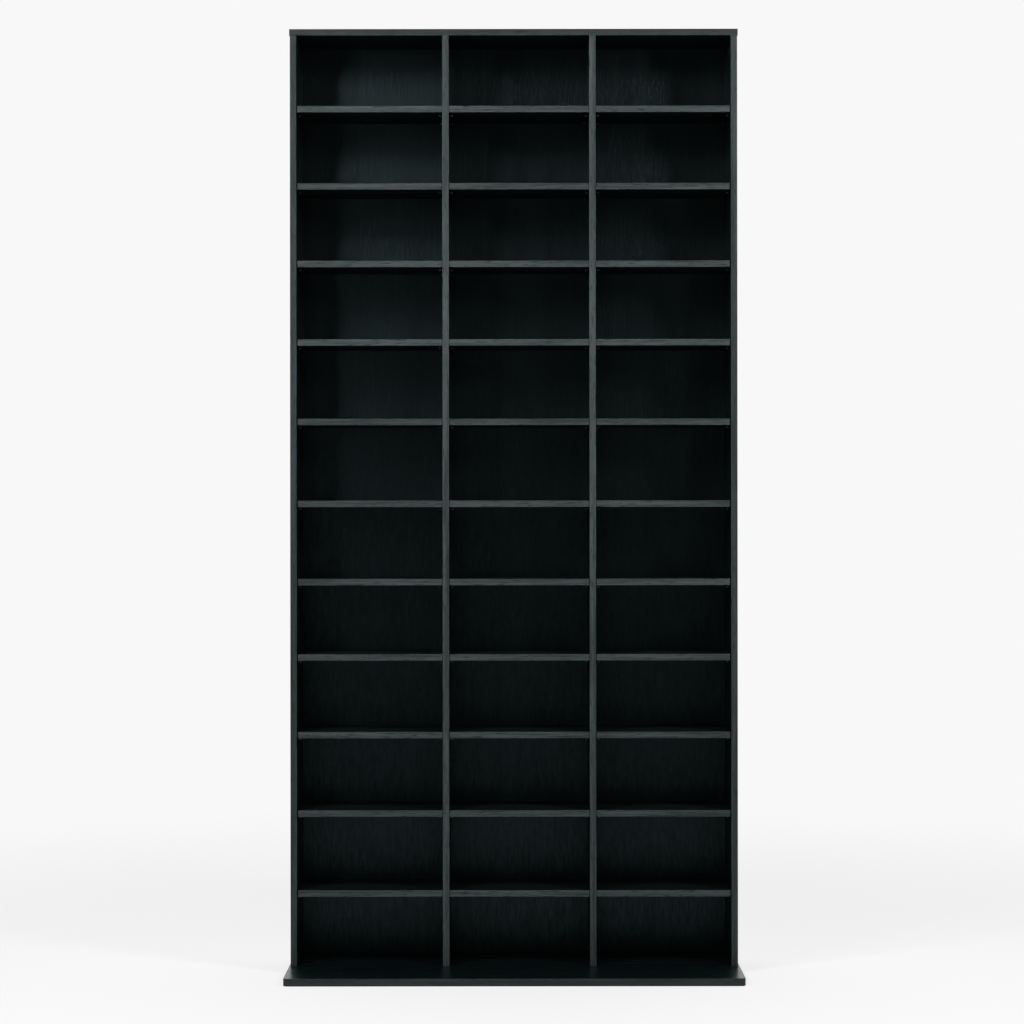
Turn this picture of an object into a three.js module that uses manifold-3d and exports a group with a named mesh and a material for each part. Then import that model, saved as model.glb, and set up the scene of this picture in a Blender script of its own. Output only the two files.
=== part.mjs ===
// Disc storage tower: a tall, shallow carcass in black ash foil on particleboard, on a base board that
// stands well out in front, with three columns of loose shelves on pins and thin backs in rebates.
// Millimetres, +Z up. The origin is at the centre of the base's underside and the front looks along -Y.

import * as THREE from 'three';
import { mergeVertices } from 'three/addons/utils/BufferGeometryUtils.js';
import Module from 'manifold-3d';

const wasm = await Module();
wasm.setup();

// Carcass
const boardThickness = 12;
const panelHeight = 1722;
const carcassDepth = 160;
const leftColumnWidth = 270;
const middleColumnWidth = 260;
const rightColumnWidth = 250;
const easedEdge = 0.8;

// Clear heights of the rows from the bottom up, as shares of what the shelves leave free
const rowHeightShares = [127.9, 136, 133.2, 131.8, 127.4, 132.9, 139.6, 135.2, 133.3, 131.7, 131, 130];

// Base and top
const baseThickness = 14;
const baseSideOverhang = 3;
const baseFrontOverhang = 140;
const baseCornerRadius = 8;
const topSideOverhang = 1;

// Backs, let into rebates of the sides and the top
const backThickness = 3;
const backSetback = 0.5;
const rebateWidth = 6;
const backEdgeGap = 0.5;

// Shelves
const shelfFrontSetback = 1;
const shelfBackGap = 0.8;
const shelfOuterGap = 2;
const shelfInnerGap = 0.8;

// Shelf pins, pressed into the sides and right through the dividers
const pinDiameter = 5;
const pinReach = 7;
const pinSeat = 8;
const pinNose = 0.8;
const pinInset = 25;
const pinRestGap = 0.3;

// Cam fittings that pull the top down onto the panels
const camDiameter = 12;
const camDepth = 9.5;
const camFromEnd = 24;
const camInset = 34;
const camSetback = 0.2;
const camSlotLength = 7;
const camSlotWidth = 1.4;
const camSlotDepth = 1.6;
const boltDiameter = 5;
const boltGrip = 8.5;
const fittingClearance = 0.3;

// Countersunk screws that hold the panels to the base from below
const screwLength = 48;
const screwDiameter = 5;
const screwHeadDiameter = 9.6;
const screwHeadRim = 0.6;
const screwTip = 3;
const screwSocketSize = 3;
const screwSocketDepth = 2.6;
const screwSetback = 0.5;

// How finely round forms are faceted, and how far a cutter runs past a face
const pinSides = 8;
const boreSides = 12;
const camSides = 20;
const socketSides = 6;
const easedSteps = 2;
const cornerSteps = 4;
const cutOverrun = 1;

// Sizes that follow
const shelfCount = rowHeightShares.length - 1;
const backRecess = backThickness + backSetback;
const innerDepth = carcassDepth - backRecess;
const shelfDepth = innerDepth - shelfFrontSetback - shelfBackGap;
const columnWidths = [leftColumnWidth, middleColumnWidth, rightColumnWidth];
const carcassWidth = sum(columnWidths) + (columnWidths.length + 1) * boardThickness;
const baseWidth = carcassWidth + 2 * baseSideOverhang;
const baseDepth = carcassDepth + baseFrontOverhang;
const topWidth = carcassWidth + 2 * topSideOverhang;

// Places that follow
const baseFront = -baseDepth / 2;
const carcassFront = baseFront + baseFrontOverhang;
const panelCentres = findPanelCentres();
const rowHeights = findRowHeights();
const shelfUndersides = findShelfUndersides();
const pinDepths = [shelfFrontSetback + pinInset, shelfFrontSetback + shelfDepth - pinInset];
const fittingDepths = { front: camInset, rear: innerDepth - camInset };

function sum(numbers) {
  return numbers.reduce((total, number) => total + number, 0);
}

// The four upright panels' middle planes, from left to right.
function findPanelCentres() {
  const centres = [boardThickness / 2 - carcassWidth / 2];
  for (const width of columnWidths) {
    centres.push(centres.at(-1) + width + boardThickness);
  }
  return centres;
}

function findRowHeights() {
  const freeHeight = panelHeight - shelfCount * boardThickness;
  const shareTotal = sum(rowHeightShares);
  return rowHeightShares.map((share) => (freeHeight * share) / shareTotal);
}

// Heights of the shelves' undersides above the foot of the panels, from the bottom up.
function findShelfUndersides() {
  const undersides = [];
  let rowFloor = 0;
  for (const height of rowHeights.slice(0, shelfCount)) {
    undersides.push(rowFloor + height);
    rowFloor += height + boardThickness;
  }
  return undersides;
}

// Solids and surfaces

function solidFrom(geometry) {
  const bare = geometry.clone();
  bare.deleteAttribute('normal');
  bare.deleteAttribute('uv');
  const merged = mergeVertices(bare);
  return new wasm.Manifold(new wasm.Mesh({
    numProp: 3,
    vertProperties: new Float32Array(merged.attributes.position.array),
    triVerts: new Uint32Array(merged.index.array),
  }));
}

function geometryFrom(solid) {
  const { vertProperties, triVerts } = solid.getMesh();
  const geometry = new THREE.BufferGeometry();
  geometry.setAttribute('position', new THREE.BufferAttribute(vertProperties, 3));
  geometry.setIndex(new THREE.BufferAttribute(triVerts, 1));
  geometry.computeVertexNormals();
  return geometry;
}

function joinAll(body, additions) {
  return additions.reduce((joined, addition) => joined.add(addition), body);
}

function cutAll(body, cutters) {
  return cutters.reduce((rest, cutter) => rest.subtract(cutter), body);
}

// An outline drawn in Y and Z that runs for a length along X, centred on X = 0.
function extrudeAlongX(outline, length) {
  const geometry = new THREE.ExtrudeGeometry(outline, {
    depth: length,
    bevelEnabled: false,
    curveSegments: easedSteps,
  });
  geometry.translate(0, 0, -length / 2);
  const turn = new THREE.Matrix4().makeBasis(
    new THREE.Vector3(0, 1, 0),
    new THREE.Vector3(0, 0, 1),
    new THREE.Vector3(1, 0, 0),
  );
  return geometry.applyMatrix4(turn);
}

// An outline drawn in X and Y that stands up along Z from Z = 0.
function extrudeAlongZ(outline, height) {
  return new THREE.ExtrudeGeometry(outline, {
    depth: height,
    bevelEnabled: false,
    curveSegments: easedSteps,
  });
}

// A turned form from [radius, height] pairs, its axis along +Z. The flats lie at the radius and face
// the X and Y axes, so a round seat of the same radius touches each flat at its middle.
function turnedForm(profile, sides) {
  const cornerFactor = 1 / Math.cos(Math.PI / sides);
  const points = profile.map(([radius, height]) => new THREE.Vector2(radius * cornerFactor, height));
  const geometry = new THREE.LatheGeometry(points, sides, Math.PI / sides);
  return geometry.rotateX(Math.PI / 2);
}

function turnedSolid(profile, sides, place, axis = 'z') {
  const geometry = turnedForm(profile, sides);
  if (axis === 'x') {
    geometry.rotateY(Math.PI / 2);
  }
  geometry.translate(...place);
  return solidFrom(geometry);
}

function roundBar(diameter, from, to) {
  return [[0, from], [diameter / 2, from], [diameter / 2, to], [0, to]];
}

function boxSolid(size, centre) {
  const geometry = new THREE.BoxGeometry(...size);
  geometry.translate(...centre);
  return solidFrom(geometry);
}

// Outlines

// Ends a level board's section with its front edge, whose two arrises are eased.
function closeWithFrontEdge(outline) {
  outline.lineTo(easedEdge, boardThickness);
  outline.quadraticCurveTo(0, boardThickness, 0, boardThickness - easedEdge);
  outline.lineTo(0, easedEdge);
  outline.quadraticCurveTo(0, 0, easedEdge, 0);
  return outline;
}

// A shelf's section: depth runs along the first axis and thickness along the second, both from 0.
function shelfSection() {
  const outline = new THREE.Shape();
  outline.moveTo(easedEdge, 0);
  outline.lineTo(shelfDepth, 0);
  outline.lineTo(shelfDepth, boardThickness);
  return closeWithFrontEdge(outline);
}

// The top's section: as a shelf's, with the rebate for the backs along its lower rear edge.
function topSection() {
  const outline = new THREE.Shape();
  outline.moveTo(easedEdge, 0);
  outline.lineTo(innerDepth, 0);
  outline.lineTo(innerDepth, rebateWidth);
  outline.lineTo(carcassDepth, rebateWidth);
  outline.lineTo(carcassDepth, boardThickness);
  return closeWithFrontEdge(outline);
}

// A panel's plan: the front edge at Y = 0 with eased arrises, the middle plane at X = 0. A side also
// has a rebate for the back, on its inner face (inward is +1 or -1 along X); a divider has inward 0.
function panelPlan(inward) {
  const half = boardThickness / 2;
  const side = inward || 1;
  const depth = inward ? carcassDepth : innerDepth;
  const outer = -side * half;
  const inner = side * half;
  const outline = new THREE.Shape();
  outline.moveTo(outer, easedEdge);
  outline.quadraticCurveTo(outer, 0, outer + side * easedEdge, 0);
  outline.lineTo(inner - side * easedEdge, 0);
  outline.quadraticCurveTo(inner, 0, inner, easedEdge);
  outline.lineTo(inner, innerDepth);
  if (inward) {
    outline.lineTo(inner - side * rebateWidth, innerDepth);
    outline.lineTo(inner - side * rebateWidth, depth);
  }
  outline.lineTo(outer, depth);
  return outline;
}

// The base's plan, centred on the origin, with rounded front corners.
function basePlan() {
  const halfWidth = baseWidth / 2;
  const halfDepth = baseDepth / 2;
  const cornerX = halfWidth - baseCornerRadius;
  const cornerY = baseCornerRadius - halfDepth;
  const outline = new THREE.Shape();
  outline.moveTo(-halfWidth, halfDepth);
  outline.lineTo(-halfWidth, cornerY);
  outline.absarc(-cornerX, cornerY, baseCornerRadius, Math.PI, Math.PI * 3 / 2, false);
  outline.lineTo(cornerX, -halfDepth);
  outline.absarc(cornerX, cornerY, baseCornerRadius, -Math.PI / 2, 0, false);
  outline.lineTo(halfWidth, halfDepth);
  return outline;
}

// Fittings

// Cam and bolt as they grip each other, in the frame of the panel that holds them. The cam's slotted
// face looks along +X or -X (facing is +1 or -1).
function camFitting(facing) {
  const face = boardThickness / 2 - camSetback;
  const cam = turnedSolid(roundBar(camDiameter, face - camDepth, face), camSides, [0, 0, 0], 'x');
  const slotMiddle = face - camSlotDepth / 2 + cutOverrun / 2;
  const slotReach = camSlotDepth + cutOverrun;
  const cross = [
    boxSolid([slotReach, camSlotLength, camSlotWidth], [slotMiddle, 0, 0]),
    boxSolid([slotReach, camSlotWidth, camSlotLength], [slotMiddle, 0, 0]),
  ];
  const boltEnd = camFromEnd + boltGrip;
  const boltStart = camDiameter / 4;
  const bolt = turnedSolid(roundBar(boltDiameter, boltStart, boltEnd), boreSides, [0, 0, 0]);
  const fitting = cutAll(cam, cross).add(bolt);
  const geometry = geometryFrom(fitting);
  if (facing < 0) {
    geometry.rotateZ(Math.PI);
  }
  return geometry;
}

// A countersunk screw, head down, with its 90 degree cone and a hexagon socket.
function baseScrew() {
  const headRadius = screwHeadDiameter / 2;
  const shankRadius = screwDiameter / 2;
  const body = turnedSolid([
    [0, 0],
    [headRadius, 0],
    [headRadius, screwHeadRim],
    [shankRadius, screwHeadRim + headRadius - shankRadius],
    [shankRadius, screwLength - screwTip],
    [shankRadius / 2, screwLength],
    [0, screwLength],
  ], boreSides, [0, 0, 0]);
  const socket = turnedSolid(
    roundBar(screwSocketSize, -cutOverrun, screwSocketDepth),
    socketSides,
    [0, 0, 0],
  );
  return geometryFrom(body.subtract(socket));
}

// Cutter for a countersunk hole right through the base, its mouth on the underside.
function countersinkCutter(x, y) {
  const headRadius = screwHeadDiameter / 2 + fittingClearance;
  const shankRadius = screwDiameter / 2 + fittingClearance;
  const rim = screwSetback + screwHeadRim;
  return turnedSolid([
    [0, -cutOverrun],
    [headRadius, -cutOverrun],
    [headRadius, rim],
    [shankRadius, rim + headRadius - shankRadius],
    [shankRadius, baseThickness + cutOverrun],
    [0, baseThickness + cutOverrun],
  ], boreSides, [x, y, 0]);
}

// Shelf pins of one panel. In a side they stop in the board, and in a divider they run right through,
// so that one pin carries the shelves on both of its faces.
function shelfPins(inward) {
  const half = boardThickness / 2;
  const radius = pinDiameter / 2;
  const tip = half + pinReach;
  const tail = inward ? half - pinSeat : -tip;
  const tailRadius = inward ? radius : radius - pinNose;
  const tailShoulder = inward ? tail : tail + pinNose;
  const profile = [
    [0, tail],
    [tailRadius, tail],
    [radius, tailShoulder],
    [radius, tip - pinNose],
    [radius - pinNose, tip],
    [0, tip],
  ];
  const outline = inward ? profile.filter((point, index) => index !== 2) : profile;
  const pins = [];
  for (const underside of shelfUndersides) {
    for (const depth of pinDepths) {
      const pin = turnedForm(outline, pinSides);
      pin.rotateY(inward < 0 ? -Math.PI / 2 : Math.PI / 2);
      pin.translate(0, depth, underside - pinRestGap - radius);
      pins.push(solidFrom(pin));
    }
  }
  return pins;
}

// Bores of one panel: a cam seat and a bolt hole at the top, and a pilot hole for the base's screw
// at the foot, at each fitting's depth.
function panelBores(facing) {
  const half = boardThickness / 2;
  const camHeight = panelHeight - camFromEnd;
  const seatDepth = camSetback + camDepth + fittingClearance;
  const pilotDepth = screwSetback + screwLength - baseThickness + fittingClearance;
  const cutters = [];
  for (const depth of Object.values(fittingDepths)) {
    const seat = turnedForm(
      roundBar(camDiameter + 2 * fittingClearance, half - seatDepth, half + cutOverrun),
      camSides,
    );
    seat.rotateY(facing < 0 ? -Math.PI / 2 : Math.PI / 2);
    seat.translate(0, depth, camHeight);
    cutters.push(solidFrom(seat));
    cutters.push(turnedSolid(
      roundBar(boltDiameter + 2 * fittingClearance, 0, camFromEnd + cutOverrun),
      boreSides,
      [0, depth, camHeight],
    ));
    cutters.push(turnedSolid(
      roundBar(screwDiameter + 2 * fittingClearance, -cutOverrun, pilotDepth),
      boreSides,
      [0, depth, 0],
    ));
  }
  return cutters;
}

// Boards

function panel(inward, facing) {
  const board = solidFrom(extrudeAlongZ(panelPlan(inward), panelHeight));
  return geometryFrom(joinAll(cutAll(board, panelBores(facing)), shelfPins(inward)));
}

function baseBoard() {
  const geometry = new THREE.ExtrudeGeometry(basePlan(), {
    depth: baseThickness - 2 * easedEdge,
    bevelEnabled: true,
    bevelThickness: easedEdge,
    bevelSize: easedEdge,
    bevelOffset: -easedEdge,
    bevelSegments: easedSteps,
    curveSegments: cornerSteps,
  });
  geometry.translate(0, 0, easedEdge);
  const cutters = [];
  for (const x of panelCentres) {
    for (const depth of Object.values(fittingDepths)) {
      cutters.push(countersinkCutter(x, carcassFront + depth));
    }
  }
  return geometryFrom(cutAll(solidFrom(geometry), cutters));
}

// The top in the panels' frame: its front at Y = 0 and its underside at Z = 0.
function topBoard() {
  const board = solidFrom(extrudeAlongX(topSection(), topWidth));
  const boreDepth = boltGrip + fittingClearance;
  const cutters = [];
  for (const x of panelCentres) {
    for (const depth of Object.values(fittingDepths)) {
      cutters.push(turnedSolid(
        roundBar(boltDiameter + 2 * fittingClearance, -cutOverrun, boreDepth),
        boreSides,
        [x, depth, 0],
      ));
    }
  }
  return geometryFrom(cutAll(board, cutters));
}

// Materials

function foilMaterial(color) {
  return new THREE.MeshStandardMaterial({ color, roughness: 0.5, metalness: 0 });
}

function steelMaterial() {
  return new THREE.MeshStandardMaterial({ color: 0xb9bcc0, roughness: 0.35, metalness: 1 });
}

const blackAsh = 0x24292c;
const darkBack = 0x1b1f22;

// Assembly

const tower = new THREE.Group();
tower.name = 'disc_storage_tower';

const carcass = new THREE.Group();
carcass.position.set(0, carcassFront, baseThickness);
tower.add(carcass);

function place(parent, name, geometry, material, position) {
  const mesh = new THREE.Mesh(geometry, material);
  mesh.name = name;
  mesh.position.set(...position);
  parent.add(mesh);
}

function addBoards() {
  place(tower, 'base_board', baseBoard(), foilMaterial(blackAsh), [0, 0, 0]);
  place(carcass, 'top_board', topBoard(), foilMaterial(blackAsh), [0, 0, panelHeight]);
}

// inward: the way a side's inner face looks, or 0 for a divider. facing: the way the cams look.
const panels = [
  { name: 'side_left', inward: 1, facing: 1 },
  { name: 'divider_left', inward: 0, facing: 1 },
  { name: 'divider_right', inward: 0, facing: -1 },
  { name: 'side_right', inward: -1, facing: -1 },
];

function addPanels() {
  panels.forEach(({ name, inward, facing }, index) => {
    const centre = panelCentres[index];
    place(carcass, name, panel(inward, facing), foilMaterial(blackAsh), [centre, 0, 0]);
  });
}

function addFittings() {
  const camHeight = panelHeight - camFromEnd;
  const screwFoot = screwSetback - baseThickness;
  panels.forEach(({ name, facing }, index) => {
    for (const [end, depth] of Object.entries(fittingDepths)) {
      const x = panelCentres[index];
      place(carcass, `cam_fitting_${name}_${end}`, camFitting(facing), steelMaterial(), [x, depth, camHeight]);
      place(carcass, `base_screw_${name}_${end}`, baseScrew(), steelMaterial(), [x, depth, screwFoot]);
    }
  });
}

// Each column's back reaches from the middle of one upright to the middle of the next, and into the
// rebates at the sides and under the top.
function addBacks() {
  const height = panelHeight + rebateWidth - backEdgeGap;
  const half = boardThickness / 2;
  const sheetEdges = [
    panelCentres[0] + half - rebateWidth + backEdgeGap,
    panelCentres[1],
    panelCentres[2],
    panelCentres[3] - half + rebateWidth - backEdgeGap,
  ];
  ['left', 'middle', 'right'].forEach((column, index) => {
    const start = sheetEdges[index] + (index > 0 ? backEdgeGap / 2 : 0);
    const end = sheetEdges[index + 1] - (index < 2 ? backEdgeGap / 2 : 0);
    const geometry = new THREE.BoxGeometry(end - start, backThickness, height);
    const position = [(start + end) / 2, innerDepth + backThickness / 2, height / 2];
    place(carcass, `back_${column}`, geometry, foilMaterial(darkBack), position);
  });
}

function addShelves() {
  const half = boardThickness / 2;
  const section = shelfSection();
  ['left', 'middle', 'right'].forEach((column, index) => {
    const startGap = index === 0 ? shelfOuterGap : shelfInnerGap;
    const endGap = index === 2 ? shelfOuterGap : shelfInnerGap;
    const start = panelCentres[index] + half + startGap;
    const end = panelCentres[index + 1] - half - endGap;
    shelfUndersides.forEach((underside, level) => {
      const number = String(level + 1).padStart(2, '0');
      const geometry = extrudeAlongX(section, end - start);
      const position = [(start + end) / 2, shelfFrontSetback, underside];
      place(carcass, `shelf_${column}_${number}`, geometry, foilMaterial(blackAsh), position);
    });
  });
}

addBoards();
addPanels();
addFittings();
addBacks();
addShelves();

export default tower;
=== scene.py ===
# Disc storage tower: the finishes, pins and nails of the black ash foil carcass, with a studio round it.
# Metres, +Z up, the front looks along -Y.

import math

import bmesh
import bpy
from mathutils import Matrix, Vector


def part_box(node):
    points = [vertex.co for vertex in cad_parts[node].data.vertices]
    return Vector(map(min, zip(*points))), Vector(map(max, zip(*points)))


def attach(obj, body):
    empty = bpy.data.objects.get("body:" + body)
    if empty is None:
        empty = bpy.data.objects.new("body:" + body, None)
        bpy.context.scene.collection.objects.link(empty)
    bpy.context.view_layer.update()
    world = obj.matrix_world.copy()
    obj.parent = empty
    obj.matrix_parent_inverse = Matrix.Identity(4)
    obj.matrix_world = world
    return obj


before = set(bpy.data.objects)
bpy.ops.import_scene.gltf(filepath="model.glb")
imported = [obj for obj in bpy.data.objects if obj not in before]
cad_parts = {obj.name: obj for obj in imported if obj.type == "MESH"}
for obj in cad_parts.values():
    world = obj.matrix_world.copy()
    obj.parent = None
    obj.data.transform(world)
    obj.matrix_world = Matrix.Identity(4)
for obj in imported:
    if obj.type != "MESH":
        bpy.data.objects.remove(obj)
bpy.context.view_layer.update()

COLUMNS = ("left", "middle", "right")
PANELS = ("side_left", "divider_left", "divider_right", "side_right")

# Camera: level and square to the front but for a hair of roll, as the picture was taken
PICTURE_SIZE = 1024
SENSOR_WIDTH = 36
FOCAL_LENGTH_PIXELS = 2780.5
CAMERA_X = -0.0035
CAMERA_HEIGHT = 0.854
CAMERA_TO_FRONT = 5.145
CAMERA_ROLL = 0.001

# Thickness of an upright; a face further from its middle than the reach is a pin's
BOARD = 0.012
BOARD_REACH = 0.0061

# A face belongs to a side of a board where its normal points this much along that axis. The front edge
# takes in its eased arrises, so less is asked there.
SQUARE_ON = 0.7
FRONT_ON = 0.3

# Shelf pins, turned round over the plain ones of the panels
PIN_RADIUS = 0.00275
PIN_AXIS_DROP = 0.0028
PIN_INSET = 0.025
PIN_ROOT = 0.0004
PIN_PROUD = 0.0072
PIN_NOSE = 0.0008
PIN_SIDES = 20

# Nails along the edges of the backs; the dome is in shares of the head's radius and height
NAIL_RADIUS = 0.0015
NAIL_HEIGHT = 0.0004
NAIL_DOME = ((1, -1), (1, 0.3), (0.75, 0.8), (0.35, 1))
NAIL_PITCH = 0.135
NAIL_EDGE = 0.003
NAIL_END = 0.03
NAIL_SIDES = 12


# Colours and nodes

def linear(hex_colour):
    """An sRGB hex colour as linear RGBA."""
    channels = [int(hex_colour[i:i + 2], 16) / 255 for i in (1, 3, 5)]
    return [c / 12.92 if c <= 0.04045 else ((c + 0.055) / 1.055) ** 2.4 for c in channels] + [1]


def add(tree, kind, inputs=None, **settings):
    """Adds a shader node. settings are its properties; inputs are values, or the sockets that feed it."""
    node = tree.nodes.new("ShaderNode" + kind)
    for name, value in settings.items():
        setattr(node, name, value)
    for key, value in (inputs or {}).items():
        if isinstance(value, bpy.types.NodeSocket):
            tree.links.new(value, node.inputs[key])
        else:
            node.inputs[key].default_value = value
    return node


def new_material(name):
    """An empty node material and its tree."""
    material = bpy.data.materials.new(name)
    material.use_nodes = True
    material.node_tree.nodes.clear()
    return material, material.node_tree


def finish_material(tree, **inputs):
    """Ends a material with its surface shader; a name's underscores stand for the spaces of the socket."""
    named = {name.replace("_", " "): value for name, value in inputs.items()}
    surface = add(tree, "BsdfPrincipled", named)
    add(tree, "OutputMaterial", {"Surface": surface.outputs["BSDF"]})


def stretched(tree, sizes_mm, shift=(0, 0, 0)):
    """The board's own coordinates, scaled so that one unit of a pattern has these sizes in millimetres
    along X, Y and Z."""
    return add(tree, "VectorMath", {
        0: add(tree, "TexCoord").outputs["Object"],
        1: [1000 / size for size in sizes_mm],
        2: shift,
    }, operation="MULTIPLY_ADD").outputs["Vector"]


def blended(tree, factor, first, second):
    """A colour between two, by a factor."""
    return add(tree, "Mix", {0: factor, 6: first, 7: second}, data_type="RGBA").outputs[2]


def mixed(tree, share, first, second):
    """A value between two, by the second one's share."""
    return add(tree, "Mix", {0: share, 2: first, 3: second}, data_type="FLOAT").outputs[0]


def remapped(tree, value, low, high, to_low=0.0, to_high=1.0):
    """A value moved from one range to another and held within it."""
    return add(tree, "MapRange", {
        "Value": value,
        "From Min": low,
        "From Max": high,
        "To Min": to_low,
        "To Max": to_high,
    }).outputs["Result"]


# Finishes

# Lacquer, melamine and wood fibre all bend light about this much
BOARD_IOR = 1.5
# The middle of a noise, spread over all of its tones
NOISE_MIDDLE = (0.3, 0.7)

# The cast of the lacquer's sheen: faintly green on the edging, blue-green on the foil and the backs
PALE_SHEEN = "#e0f4f6"
COLD_SHEEN = "#c6f0f6"

# The print of ash, in millimetres across and along the grain: cathedral figure 30 mm wide, growth lines
# drawn some 4 mm apart to show (long on the boards, short streaks on the backs), pores drawn 1.2 mm wide
FIGURE_MM = (30, 620)
LINE_MM = (4, 150)
STREAK_MM = (4, 26)
PORE_MM = (1.2, 17)
# Where the noise of each is cut, and the shifts that keep the three from following one another
FIGURE_RANGE = (0.34, 0.66)
LINE_RANGE = (0.36, 0.64)
PORE_RANGE = (0.56, 0.68)
LINE_SHIFT = (7, 3, 5)
PORE_SHIFT = (2, 9, 4)
# How much of the tone the lines give; the figure gives the rest
LINES_IN_TONE = 0.62

# Tempered hardboard: the clumps and fibres of the sheet, and the wires of its screen. The real screen has
# a wire each 1.4 mm, drawn 3 mm apart to show
CLUMP_MM = (9, 9, 9)
FIBRE_MM = (1.5, 1.5, 5)
SCREEN_MM = (3, 3, 3)
# The wave texture's own scale that gives about one wave to a unit
ONE_WAVE = 1 / math.pi
FIBRES_IN_TONE = 0.4

# Chips of particleboard, and the share of a chip that is the dark gap to its neighbour
CHIP_MM = (2.6, 1.4, 2.6)
CHIP_GAP = 0.08

# How far a metal's roughness goes down on its smoothest spots and up on its dull ones
SMOOTHER = 0.05
DULLER = 0.1


def along_axis(axis, across_mm, along_mm):
    """Pattern sizes for wood whose grain runs along one axis."""
    return [along_mm if name == axis else across_mm for name in "xyz"]


def ash_print(
    name, axis, tones, sheen, roughness,
    level=0.5, line_mm=LINE_MM, pore_depth=0.00005, unevenness=0.09,
):
    """A print of ash grain, embossed with its pores and lacquered satin: near black, with fine straight
    lines along the board and a soft, wide, slightly cold sheen that breaks up on the pores.
    tones are the dark and the light of the print and the colour in its pores; unevenness is how far the
    roughness goes up in the pores and down on the lines."""
    material, tree = new_material(name)
    dark, light, pore = tones
    figure = add(tree, "TexNoise", {
        "Vector": stretched(tree, along_axis(axis, *FIGURE_MM)),
        "Scale": 1, "Detail": 2, "Roughness": 0.5, "Distortion": 0.35,
    }).outputs["Fac"]
    lines = add(tree, "TexNoise", {
        "Vector": stretched(tree, along_axis(axis, *line_mm), LINE_SHIFT),
        "Scale": 1, "Detail": 4, "Roughness": 0.62,
    }).outputs["Fac"]
    pores = add(tree, "TexNoise", {
        "Vector": stretched(tree, along_axis(axis, *PORE_MM), PORE_SHIFT),
        "Scale": 1, "Detail": 2, "Roughness": 0.5,
    }).outputs["Fac"]
    figure_share = remapped(tree, figure, *FIGURE_RANGE)
    line_share = remapped(tree, lines, *LINE_RANGE)
    pore_mask = remapped(tree, pores, *PORE_RANGE)
    tone = mixed(tree, LINES_IN_TONE, figure_share, line_share)
    printed = blended(tree, tone, linear(dark), linear(light))
    colour = blended(tree, pore_mask, printed, linear(pore))
    relief = add(tree, "Math", {0: line_share, 1: pore_mask}, operation="SUBTRACT").outputs[0]
    bump = add(tree, "Bump", {"Height": relief, "Strength": 0.5, "Distance": pore_depth})
    finish_material(
        tree,
        Base_Color=colour,
        Roughness=remapped(tree, relief, -1, 1, roughness + unevenness, roughness - unevenness),
        IOR=BOARD_IOR,
        Specular_IOR_Level=level,
        Specular_Tint=linear(sheen),
        Normal=bump.outputs["Normal"],
    )
    return material


def bare_hardboard():
    """Tempered hardboard, pressed against a wire screen: matt dark brown with small square dimples
    and the odd darker fibre clump."""
    material, tree = new_material("tempered_hardboard_screen_side")
    clumps = add(tree, "TexNoise", {
        "Vector": stretched(tree, CLUMP_MM), "Scale": 1, "Detail": 5, "Roughness": 0.7,
    }).outputs["Fac"]
    fibres = add(tree, "TexNoise", {
        "Vector": stretched(tree, FIBRE_MM), "Scale": 1, "Detail": 3, "Roughness": 0.6,
    }).outputs["Fac"]
    wires = [
        add(tree, "TexWave", {
            "Vector": stretched(tree, SCREEN_MM), "Scale": ONE_WAVE, "Distortion": 0.6,
            "Detail": 1, "Detail Scale": 2,
        }, bands_direction=direction).outputs["Fac"]
        for direction in ("X", "Z")
    ]
    screen = add(tree, "Math", {0: wires[0], 1: wires[1]}, operation="MULTIPLY").outputs[0]
    tone = mixed(
        tree, FIBRES_IN_TONE,
        remapped(tree, clumps, *NOISE_MIDDLE), remapped(tree, fibres, *NOISE_MIDDLE),
    )
    bump = add(tree, "Bump", {"Height": screen, "Strength": 0.5, "Distance": 0.0003})
    finish_material(
        tree,
        Base_Color=blended(tree, tone, linear("#33251a"), linear("#4b3828")),
        Roughness=0.75,
        IOR=BOARD_IOR,
        Normal=bump.outputs["Normal"],
    )
    return material


def raw_particleboard():
    """Particleboard as it was sawn: pale straw chips of all tones with dark gaps between them."""
    material, tree = new_material("sawn_particleboard")
    place = stretched(tree, CHIP_MM)
    chips = add(tree, "TexVoronoi", {"Vector": place, "Scale": 1, "Randomness": 1})
    gaps = add(tree, "TexVoronoi", {
        "Vector": place, "Scale": 1, "Randomness": 1,
    }, feature="DISTANCE_TO_EDGE").outputs["Distance"]
    tone = add(tree, "SeparateColor", {"Color": chips.outputs["Color"]}).outputs[0]
    chip_colour = blended(tree, tone, linear("#8d6a42"), linear("#c7a876"))
    bump = add(tree, "Bump", {"Height": gaps, "Strength": 0.6, "Distance": 0.0004})
    finish_material(
        tree,
        Base_Color=blended(tree, remapped(tree, gaps, 0, CHIP_GAP), linear("#4a3823"), chip_colour),
        Roughness=0.85,
        IOR=BOARD_IOR,
        Normal=bump.outputs["Normal"],
    )
    return material


def metal(name, colour, dull_colour, roughness, grit_mm, relief):
    """A bare metal surface: its roughness and tone vary at the size of its grit."""
    material, tree = new_material(name)
    grit = add(tree, "TexNoise", {
        "Vector": stretched(tree, (grit_mm, grit_mm, grit_mm)), "Scale": 1, "Detail": 3, "Roughness": 0.6,
    }).outputs["Fac"]
    share = remapped(tree, grit, *NOISE_MIDDLE)
    bump = add(tree, "Bump", {"Height": grit, "Strength": 0.4, "Distance": relief})
    finish_material(
        tree,
        Base_Color=blended(tree, share, linear(colour), linear(dull_colour)),
        Metallic=1.0,
        Roughness=remapped(tree, share, 0, 1, roughness - SMOOTHER, roughness + DULLER),
        Normal=bump.outputs["Normal"],
    )
    return material


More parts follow.
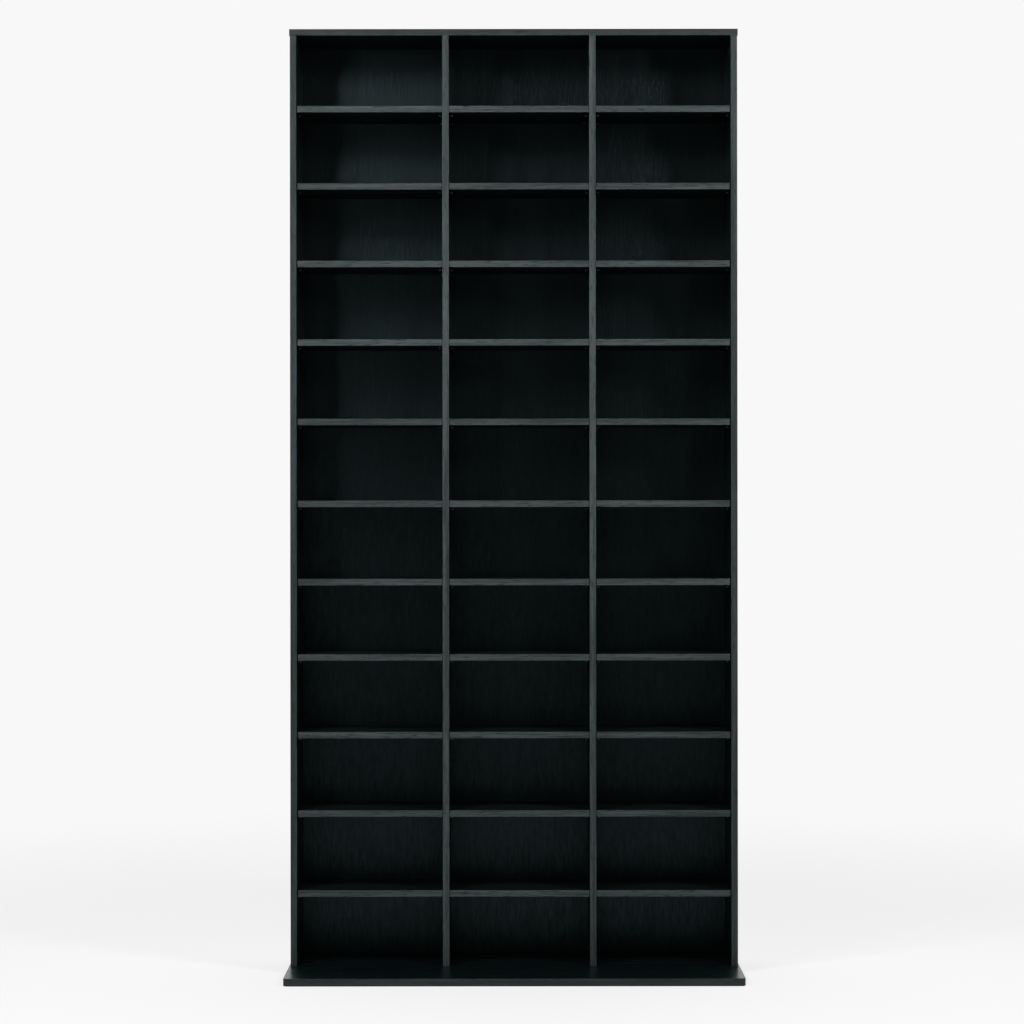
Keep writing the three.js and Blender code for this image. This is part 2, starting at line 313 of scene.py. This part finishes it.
# Paper foil on the boards' faces: next to black, so that what it gives the eye is its cold sheen
FOIL_TONES = ("#090c0d", "#13181a", "#060808")
UPRIGHT_FOIL = ash_print("black_ash_foil_upright", "z", FOIL_TONES, COLD_SHEEN, roughness=0.40)
LEVEL_FOIL = ash_print("black_ash_foil_level", "x", FOIL_TONES, COLD_SHEEN, roughness=0.62, level=0.4)
# The base's foil is glossier and a little greener: past the feet of the sides it shows the pale room
# behind
BASE_TONES = ("#091617", "#131f20", "#061112")
BASE_FOIL = ash_print(
    "black_ash_foil_base", "x", BASE_TONES, COLD_SHEEN, roughness=0.31, unevenness=0.05,
)
# The edging is a matt melamine strip with the same print, palest on the inner boards; the darker tones of
# the sides' strips and of the top's and base's are painted shade
SHELF_TONES = ("#2f3535", "#5f696a", "#222728")
DIVIDER_TONES = ("#343b3c", "#656f70", "#262b2c")
# Painted shade: the sides' edging is darker than the inner boards' for the less light that falls on it
SIDE_SHADED_TONES = ("#2b3030", "#4f5758", "#202425")
# Painted shade: the top's and base's edging is darker than the inner boards' in the same way
COVER_SHADED_TONES = ("#242929", "#434a4a", "#1b1f1f")
EDGING_ROUGHNESS = 0.60
SHELF_EDGING = ash_print("shelf_melamine_edging", "x", SHELF_TONES, PALE_SHEEN, EDGING_ROUGHNESS)
DIVIDER_EDGING = ash_print("divider_melamine_edging", "z", DIVIDER_TONES, PALE_SHEEN, EDGING_ROUGHNESS)
SIDE_SHADED_EDGING = ash_print("side_melamine_edging_painted_shade", "z", SIDE_SHADED_TONES, PALE_SHEEN, EDGING_ROUGHNESS)
COVER_SHADED_EDGING = ash_print("cover_melamine_edging_painted_shade", "x", COVER_SHADED_TONES, PALE_SHEEN, EDGING_ROUGHNESS)
# The backs' print is the darkest, under a stronger sheen that short streaks break up
BACK_TONES = ("#010202", "#1f2527", "#010202")
BACK_PRINT = ash_print(
    "ash_printed_hardboard", "z", BACK_TONES, COLD_SHEEN, roughness=0.42,
    level=0.68, line_mm=STREAK_MM, pore_depth=0.00013, unevenness=0.12,
)
BACK_REAR = bare_hardboard()
SAWN_BOARD = raw_particleboard()
# Die-cast zinc alloy, tumbled: soft grey and finely pitted
CAST_ZINC = metal(
    "die_cast_zinc", "#a6a8ab", "#85878a", roughness=0.42, grit_mm=0.7, relief=0.00003,
)
# Steel plated bright with zinc: bluish silver, smooth
PLATED_STEEL = metal(
    "bright_zinc_plated_steel", "#c3c7cb", "#a4a9ae", roughness=0.28, grit_mm=0.5, relief=0.00001,
)
# Steel plated with zinc, its colour darkened to a dull grey as painted shade, so that the pins show as faint
# specks in the shade under the shelves
SHADED_PIN_STEEL = metal(
    "zinc_plated_steel_painted_shade", "#606265", "#494b4e",
    roughness=0.45, grit_mm=0.5, relief=0.00001,
)


# Dressing the boards

def dress(node, materials, choose):
    """Gives a CAD node its materials. choose returns, for a face's normal and middle, one of their names."""
    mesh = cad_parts[node].data
    mesh.materials.clear()
    names = list(materials)
    for name in names:
        mesh.materials.append(materials[name])
    for face in mesh.polygons:
        face.material_index = names.index(choose(face.normal, face.center))


def dress_panels():
    """Uprights: foil on both faces, edging on the front, sawn board at the rear and the ends, steel pins."""
    for node in PANELS:
        low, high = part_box(node)
        middle = (low.x + high.x) / 2

        def choose(normal, centre):
            if abs(centre.x - middle) > BOARD_REACH:
                return "pin"
            if normal.y < -FRONT_ON:
                return "edging"
            return "foil" if abs(normal.x) > SQUARE_ON else "sawn"

        dress(node, {
            "foil": UPRIGHT_FOIL,
            "edging": DIVIDER_EDGING if node.startswith("divider") else SIDE_SHADED_EDGING,
            "sawn": SAWN_BOARD,
            # The pins' steel is darkened as painted shade
            "pin": SHADED_PIN_STEEL,
        }, choose)


def dress_shelf(node):
    """A shelf: foil above and below, edging on the front, sawn board on the ends and at the rear."""
    def choose(normal, centre):
        if normal.y < -FRONT_ON:
            return "edging"
        return "foil" if abs(normal.z) > SQUARE_ON else "sawn"

    dress(node, {"foil": LEVEL_FOIL, "edging": SHELF_EDGING, "sawn": SAWN_BOARD}, choose)


def dress_edged_board(node, foil):
    """The top or the base: edging on the front and both ends, sawn board only at the rear."""
    def choose(normal, centre):
        if abs(normal.z) > SQUARE_ON:
            return "foil"
        return "sawn" if normal.y > SQUARE_ON else "edging"

    dress(node, {"foil": foil, "edging": COVER_SHADED_EDGING, "sawn": SAWN_BOARD}, choose)


def dress_backs():
    """The backs: printed inside, bare screen side outside and on the edges."""
    for column in COLUMNS:
        dress(
            f"back_{column}",
            {"print": BACK_PRINT, "bare": BACK_REAR},
            lambda normal, centre: "print" if normal.y < -SQUARE_ON else "bare",
        )


def dress_all():
    """Every CAD node gets its finish."""
    dress_panels()
    dress_backs()
    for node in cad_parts:
        if node.startswith("shelf_"):
            dress_shelf(node)
        elif node.startswith("cam_fitting_"):
            dress(node, {"metal": CAST_ZINC}, lambda normal, centre: "metal")
        elif node.startswith("base_screw_"):
            dress(node, {"metal": PLATED_STEEL}, lambda normal, centre: "metal")
    dress_edged_board("top_board", LEVEL_FOIL)
    dress_edged_board("base_board", BASE_FOIL)


# Small fasteners

def new_piece(name, builder, material):
    """A piece of the carcass from a bmesh."""
    mesh = bpy.data.meshes.new(name)
    builder.to_mesh(mesh)
    builder.free()
    mesh.materials.append(material)
    piece = bpy.data.objects.new(name, mesh)
    bpy.context.scene.collection.objects.link(piece)
    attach(piece, "carcass")


def add_turned(builder, profile, sides, place, turn):
    """Adds a turned form, given as (radius, height) pairs from its foot to its tip, to a bmesh."""
    rings = []
    for radius, height in profile:
        ring = []
        for step in range(sides):
            angle = 2 * math.pi * step / sides
            point = Vector((radius * math.cos(angle), radius * math.sin(angle), height))
            ring.append(builder.verts.new(place + turn @ point))
        rings.append(ring)
    for lower, upper in zip(rings, rings[1:]):
        for step in range(sides):
            following = (step + 1) % sides
            face = builder.faces.new((lower[step], lower[following], upper[following], upper[step]))
            face.smooth = True
    builder.faces.new(reversed(rings[0]))
    builder.faces.new(rings[-1])


def inner_face(panel, side):
    """Where a panel's face lies along X, on its left (-1) or right (1) side; the box has its pins in it."""
    low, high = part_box(panel)
    if panel == "side_left":
        return low.x + BOARD
    if panel == "side_right":
        return high.x - BOARD
    return (low.x + high.x) / 2 + side * BOARD / 2


def make_pins(column, left_panel, right_panel):
    """The steel pins under one column's shelves: a front and a rear one in the panel on each side."""
    profile = (
        (PIN_RADIUS, -PIN_ROOT),
        (PIN_RADIUS, PIN_PROUD - PIN_NOSE),
        (PIN_RADIUS - PIN_NOSE / 2, PIN_PROUD - PIN_NOSE / 4),
        (PIN_RADIUS - PIN_NOSE, PIN_PROUD),
    )
    builder = bmesh.new()
    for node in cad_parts:
        if not node.startswith(f"shelf_{column}_"):
            continue
        low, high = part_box(node)
        for panel, side in ((left_panel, 1), (right_panel, -1)):
            turn = Matrix.Rotation(side * math.pi / 2, 3, "Y")
            for y in (low.y + PIN_INSET, high.y - PIN_INSET):
                place = Vector((inner_face(panel, side), y, low.z - PIN_AXIS_DROP))
                add_turned(builder, profile, PIN_SIDES, place, turn)
    # The pins' steel is darkened as painted shade
    new_piece(f"shelf_pins_{column}", builder, SHADED_PIN_STEEL)


def spaced(first, last, pitch):
    """Even places from first to last, about this far apart."""
    gaps = max(1, round((last - first) / pitch))
    return [first + (last - first) * i / gaps for i in range(gaps + 1)]


def make_nails(column):
    """Domed nail heads round one back, driven into the rebates; the bottom edge has none."""
    low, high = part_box(f"back_{column}")
    profile = [(NAIL_RADIUS * radius, NAIL_HEIGHT * height) for radius, height in NAIL_DOME]
    places = [
        (x, z)
        for x in (low.x + NAIL_EDGE, high.x - NAIL_EDGE)
        for z in spaced(low.z + NAIL_END, high.z - NAIL_END, NAIL_PITCH)
    ]
    top_places = spaced(low.x + NAIL_EDGE, high.x - NAIL_EDGE, NAIL_PITCH)[1:-1]
    places += [(x, high.z - NAIL_EDGE) for x in top_places]
    builder = bmesh.new()
    turn = Matrix.Rotation(-math.pi / 2, 3, "X")
    for x, z in places:
        add_turned(builder, profile, NAIL_SIDES, Vector((x, high.y, z)), turn)
    new_piece(f"back_nails_{column}", builder, PLATED_STEEL)


dress_all()
for column, left_panel, right_panel in zip(COLUMNS, PANELS, PANELS[1:]):
    make_pins(column, left_panel, right_panel)
    make_nails(column)


# Studio

BACKDROP = "#f8f8f8"

# What lights the tower from far off: dim in front and pale behind, and the directions along Y between
# which one turns into the other
FRONT_GLOW = "#0a0a0a"
REAR_GLOW = "#d0d0d0"
REAR_DIRECTIONS = (-0.15, 0.45)

# The floor runs into the backdrop between the first two distances from the tower. Past the last two its
# colour for the light it throws back turns from near white to grey:
# a painted pool of light round the tower, and painted shade further off
FLOOR_RADIUS = 16.0
FLOOR_SIDES = 64
FLOOR_NEAR = 0.7
FLOOR_FAR = 3.0
BOUNCE_NEAR = 0.5
# Painted light near the tower and painted shade further off, in the colour the floor throws back
BOUNCE_FAR = 0.8
NEAR_BOUNCE_PAINTED_LIGHT = "#fbfbfb"
FAR_BOUNCE_PAINTED_SHADE = "#b3b3b3"
# As the camera sees it, the floor near the tower is part lit, which shows the shadow, and part glow
SHOWN_LIT = "#aeaeae"
SHOWN_GLOW = "#dadada"
# In reflections the floor turns into the pale one between these two places along Y
REAR_FLOOR = (-0.2, 0.6)

# Width and height of the soft boxes
TALL_BOX = (0.25, 0.7)
NEAR_BOX = (0.15, 0.4)
WIDE_BOX = (2.0, 1.0)
# Name, place, size and watts of each. Most are narrow and tall, so that the shadows of the uprights on
# the backs are crisp and those of the shelves soft.
SOFTBOXES = (
    ("softbox_left_high", (-1.6, -2.8, 3.0), TALL_BOX, 8.9),
    ("softbox_left_middle", (-1.9, -2.8, 2.4), TALL_BOX, 4.8),
    ("softbox_left_near", (-1.0, -1.3, 2.2), NEAR_BOX, 4.4),
    ("softbox_left_near_outer", (-1.3, -1.3, 2.2), NEAR_BOX, 5.4),
    ("softbox_left_near_middle", (-1.3, -1.3, 1.7), NEAR_BOX, 2.6),
    ("softbox_left_near_low", (-1.0, -1.3, 1.2), NEAR_BOX, 0.9),
    ("softbox_front_low", (-1.0, -5.8, 0.5), WIDE_BOX, 1.1),
    ("softbox_right_high", (2.7, -2.8, 2.4), TALL_BOX, 9.9),
    ("softbox_right_near", (1.3, -1.3, 2.2), NEAR_BOX, 8.2),
    ("softbox_right_near_middle", (1.6, -1.3, 1.7), NEAR_BOX, 5.1),
    ("softbox_right_near_low", (1.0, -1.3, 1.2), NEAR_BOX, 0.45),
)
SOFTBOX_AIM = (0, -0.07, 0.9)


def shown_background(tree, behind):
    """1 where a ray shows the pale background: every camera ray, and the reflections of what lies behind."""
    rays = add(tree, "LightPath").outputs
    reflected = add(tree, "Math", {
        0: rays["Is Glossy Ray"], 1: rays["Is Transmission Ray"],
    }, operation="MAXIMUM").outputs[0]
    kept = add(tree, "Math", {0: reflected, 1: behind}, operation="MULTIPLY").outputs[0]
    return add(tree, "Math", {0: rays["Is Camera Ray"], 1: kept}, operation="MAXIMUM").outputs[0]


def make_world():
    """A pale backdrop all round for the camera; for light, pale behind the tower and dim in front."""
    world = bpy.data.worlds.new("studio")
    bpy.context.scene.world = world
    world.use_nodes = True
    tree = world.node_tree
    tree.nodes.clear()
    direction = add(tree, "TexCoord").outputs["Generated"]
    forward = add(tree, "SeparateXYZ", {"Vector": direction}).outputs["Y"]
    behind = remapped(tree, forward, *REAR_DIRECTIONS)
    glow = blended(tree, behind, linear(FRONT_GLOW), linear(REAR_GLOW))
    colour = blended(tree, shown_background(tree, behind), glow, linear(BACKDROP))
    light = add(tree, "Background", {"Color": colour, "Strength": 1.0})
    add(tree, "OutputWorld", {"Surface": light.outputs["Background"]})


def eased(tree, value, low, high):
    """A value that goes from 0 at low to 1 at high, gently at both ends."""
    return add(tree, "MapRange", {
        "Value": value, "From Min": low, "From Max": high,
    }, interpolation_type="SMOOTHSTEP").outputs["Result"]


def floor_material():
    """Matt pale studio floor: it takes the tower's shadow, and far off it runs into the backdrop. For the
    light that it throws back on the tower its colour is painted:
    near white close by as a pool of light, grey further off as shade."""
    material, tree = new_material("matt_studio_floor")
    place = add(tree, "TexCoord").outputs["Object"]
    distance = add(tree, "VectorMath", {0: place}, operation="LENGTH").outputs["Value"]
    far = eased(tree, distance, FLOOR_NEAR, FLOOR_FAR)
    painted_falloff = eased(tree, distance, BOUNCE_NEAR, BOUNCE_FAR)
    behind = remapped(tree, add(tree, "SeparateXYZ", {"Vector": place}).outputs["Y"], *REAR_FLOOR)
    lit = add(tree, "BsdfDiffuse", {"Color": linear(SHOWN_LIT)}).outputs["BSDF"]
    glow = add(tree, "Emission", {"Color": linear(SHOWN_GLOW), "Strength": 1.0}).outputs["Emission"]
    near_shown = add(tree, "AddShader", {0: lit, 1: glow}).outputs["Shader"]
    far_shown = add(tree, "Emission", {"Color": linear(BACKDROP), "Strength": 1.0}).outputs["Emission"]
    shown = add(tree, "MixShader", {0: far, 1: near_shown, 2: far_shown}).outputs["Shader"]
    # Painted light: the colour that lights the tower is paler close to it and grey further off
    bounce = add(tree, "BsdfDiffuse", {
        "Color": blended(tree, painted_falloff, linear(NEAR_BOUNCE_PAINTED_LIGHT), linear(FAR_BOUNCE_PAINTED_SHADE)),
    }).outputs["BSDF"]
    surface = add(tree, "MixShader", {0: shown_background(tree, behind), 1: bounce, 2: shown})
    add(tree, "OutputMaterial", {"Surface": surface.outputs["Shader"]})
    return material


def make_floor():
    """The floor: one wide round face under the tower."""
    angles = [2 * math.pi * i / FLOOR_SIDES for i in range(FLOOR_SIDES)]
    corners = [(FLOOR_RADIUS * math.cos(angle), FLOOR_RADIUS * math.sin(angle), 0) for angle in angles]
    mesh = bpy.data.meshes.new("studio_floor")
    mesh.from_pydata(corners, [], [tuple(range(FLOOR_SIDES))])
    mesh.materials.append(floor_material())
    floor = bpy.data.objects.new("studio_floor", mesh)
    bpy.context.scene.collection.objects.link(floor)


def add_softbox(name, place, size, power):
    """A soft box, hidden from the camera, that looks from its place at the tower's middle."""
    lamp = bpy.data.lights.new(name, "AREA")
    lamp.shape = "RECTANGLE"
    lamp.size, lamp.size_y = size
    lamp.energy = power
    box = bpy.data.objects.new(name, lamp)
    box.location = place
    box.rotation_euler = (Vector(SOFTBOX_AIM) - Vector(place)).to_track_quat("-Z", "Y").to_euler()
    box.visible_camera = False
    bpy.context.scene.collection.objects.link(box)


def make_camera():
    """The camera, square in front of the tower, at the picture's distance, height and framing."""
    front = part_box("side_left")[0].y
    lens = bpy.data.cameras.new("camera")
    lens.sensor_width = SENSOR_WIDTH
    lens.lens = FOCAL_LENGTH_PIXELS * SENSOR_WIDTH / PICTURE_SIZE
    camera = bpy.data.objects.new("camera", lens)
    camera.location = (CAMERA_X, front - CAMERA_TO_FRONT, CAMERA_HEIGHT)
    camera.rotation_euler = (math.pi / 2, CAMERA_ROLL, 0)
    bpy.context.scene.collection.objects.link(camera)
    bpy.context.scene.camera = camera


make_world()
make_floor()
for softbox in SOFTBOXES:
    add_softbox(*softbox)
make_camera()
bpy.context.scene.view_settings.view_transform = "Standard"
